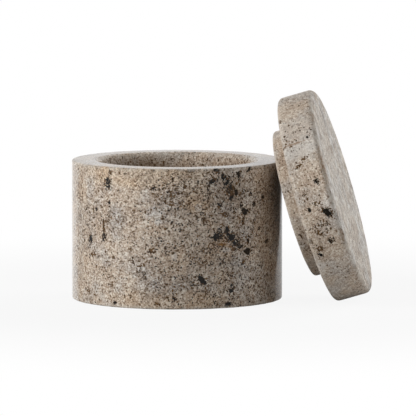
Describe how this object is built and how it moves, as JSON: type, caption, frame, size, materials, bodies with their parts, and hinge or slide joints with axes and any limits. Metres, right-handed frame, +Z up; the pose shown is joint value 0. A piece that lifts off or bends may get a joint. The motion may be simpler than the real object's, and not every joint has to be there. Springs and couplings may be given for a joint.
{
  "type": "salt and pepper jar",
  "caption": "Thick-walled round stone jar for salt or pepper with a loose flat stone lid, shown open with the lid leaning on its side; the lid's spigot fits the mouth.",
  "frame": {"origin": "centre of the jar's base, on the surface it stands on", "axes": "+Z up along the jar's axis, out of its mouth; the lid leans on the jar's +X side, turned a little towards -Y"},
  "size_m": [0.1285, 0.0995, 0.0897],
  "materials": {
    "jar_stone": "polished grey-beige stone with dark and rusty grains",
    "lid_stone": "polished grey-beige stone with dark and rusty grains"
  },
  "bodies": {
    "jar": {"jar": "jar_stone"},
    "lid": {"lid": "lid_stone"}
  },
  "joints": [
    {"name": "lid_lift", "type": "slide", "parent": "jar", "child": "lid", "axis": [0, 0, 1], "range_m": [0, 0.08]}
  ]
}
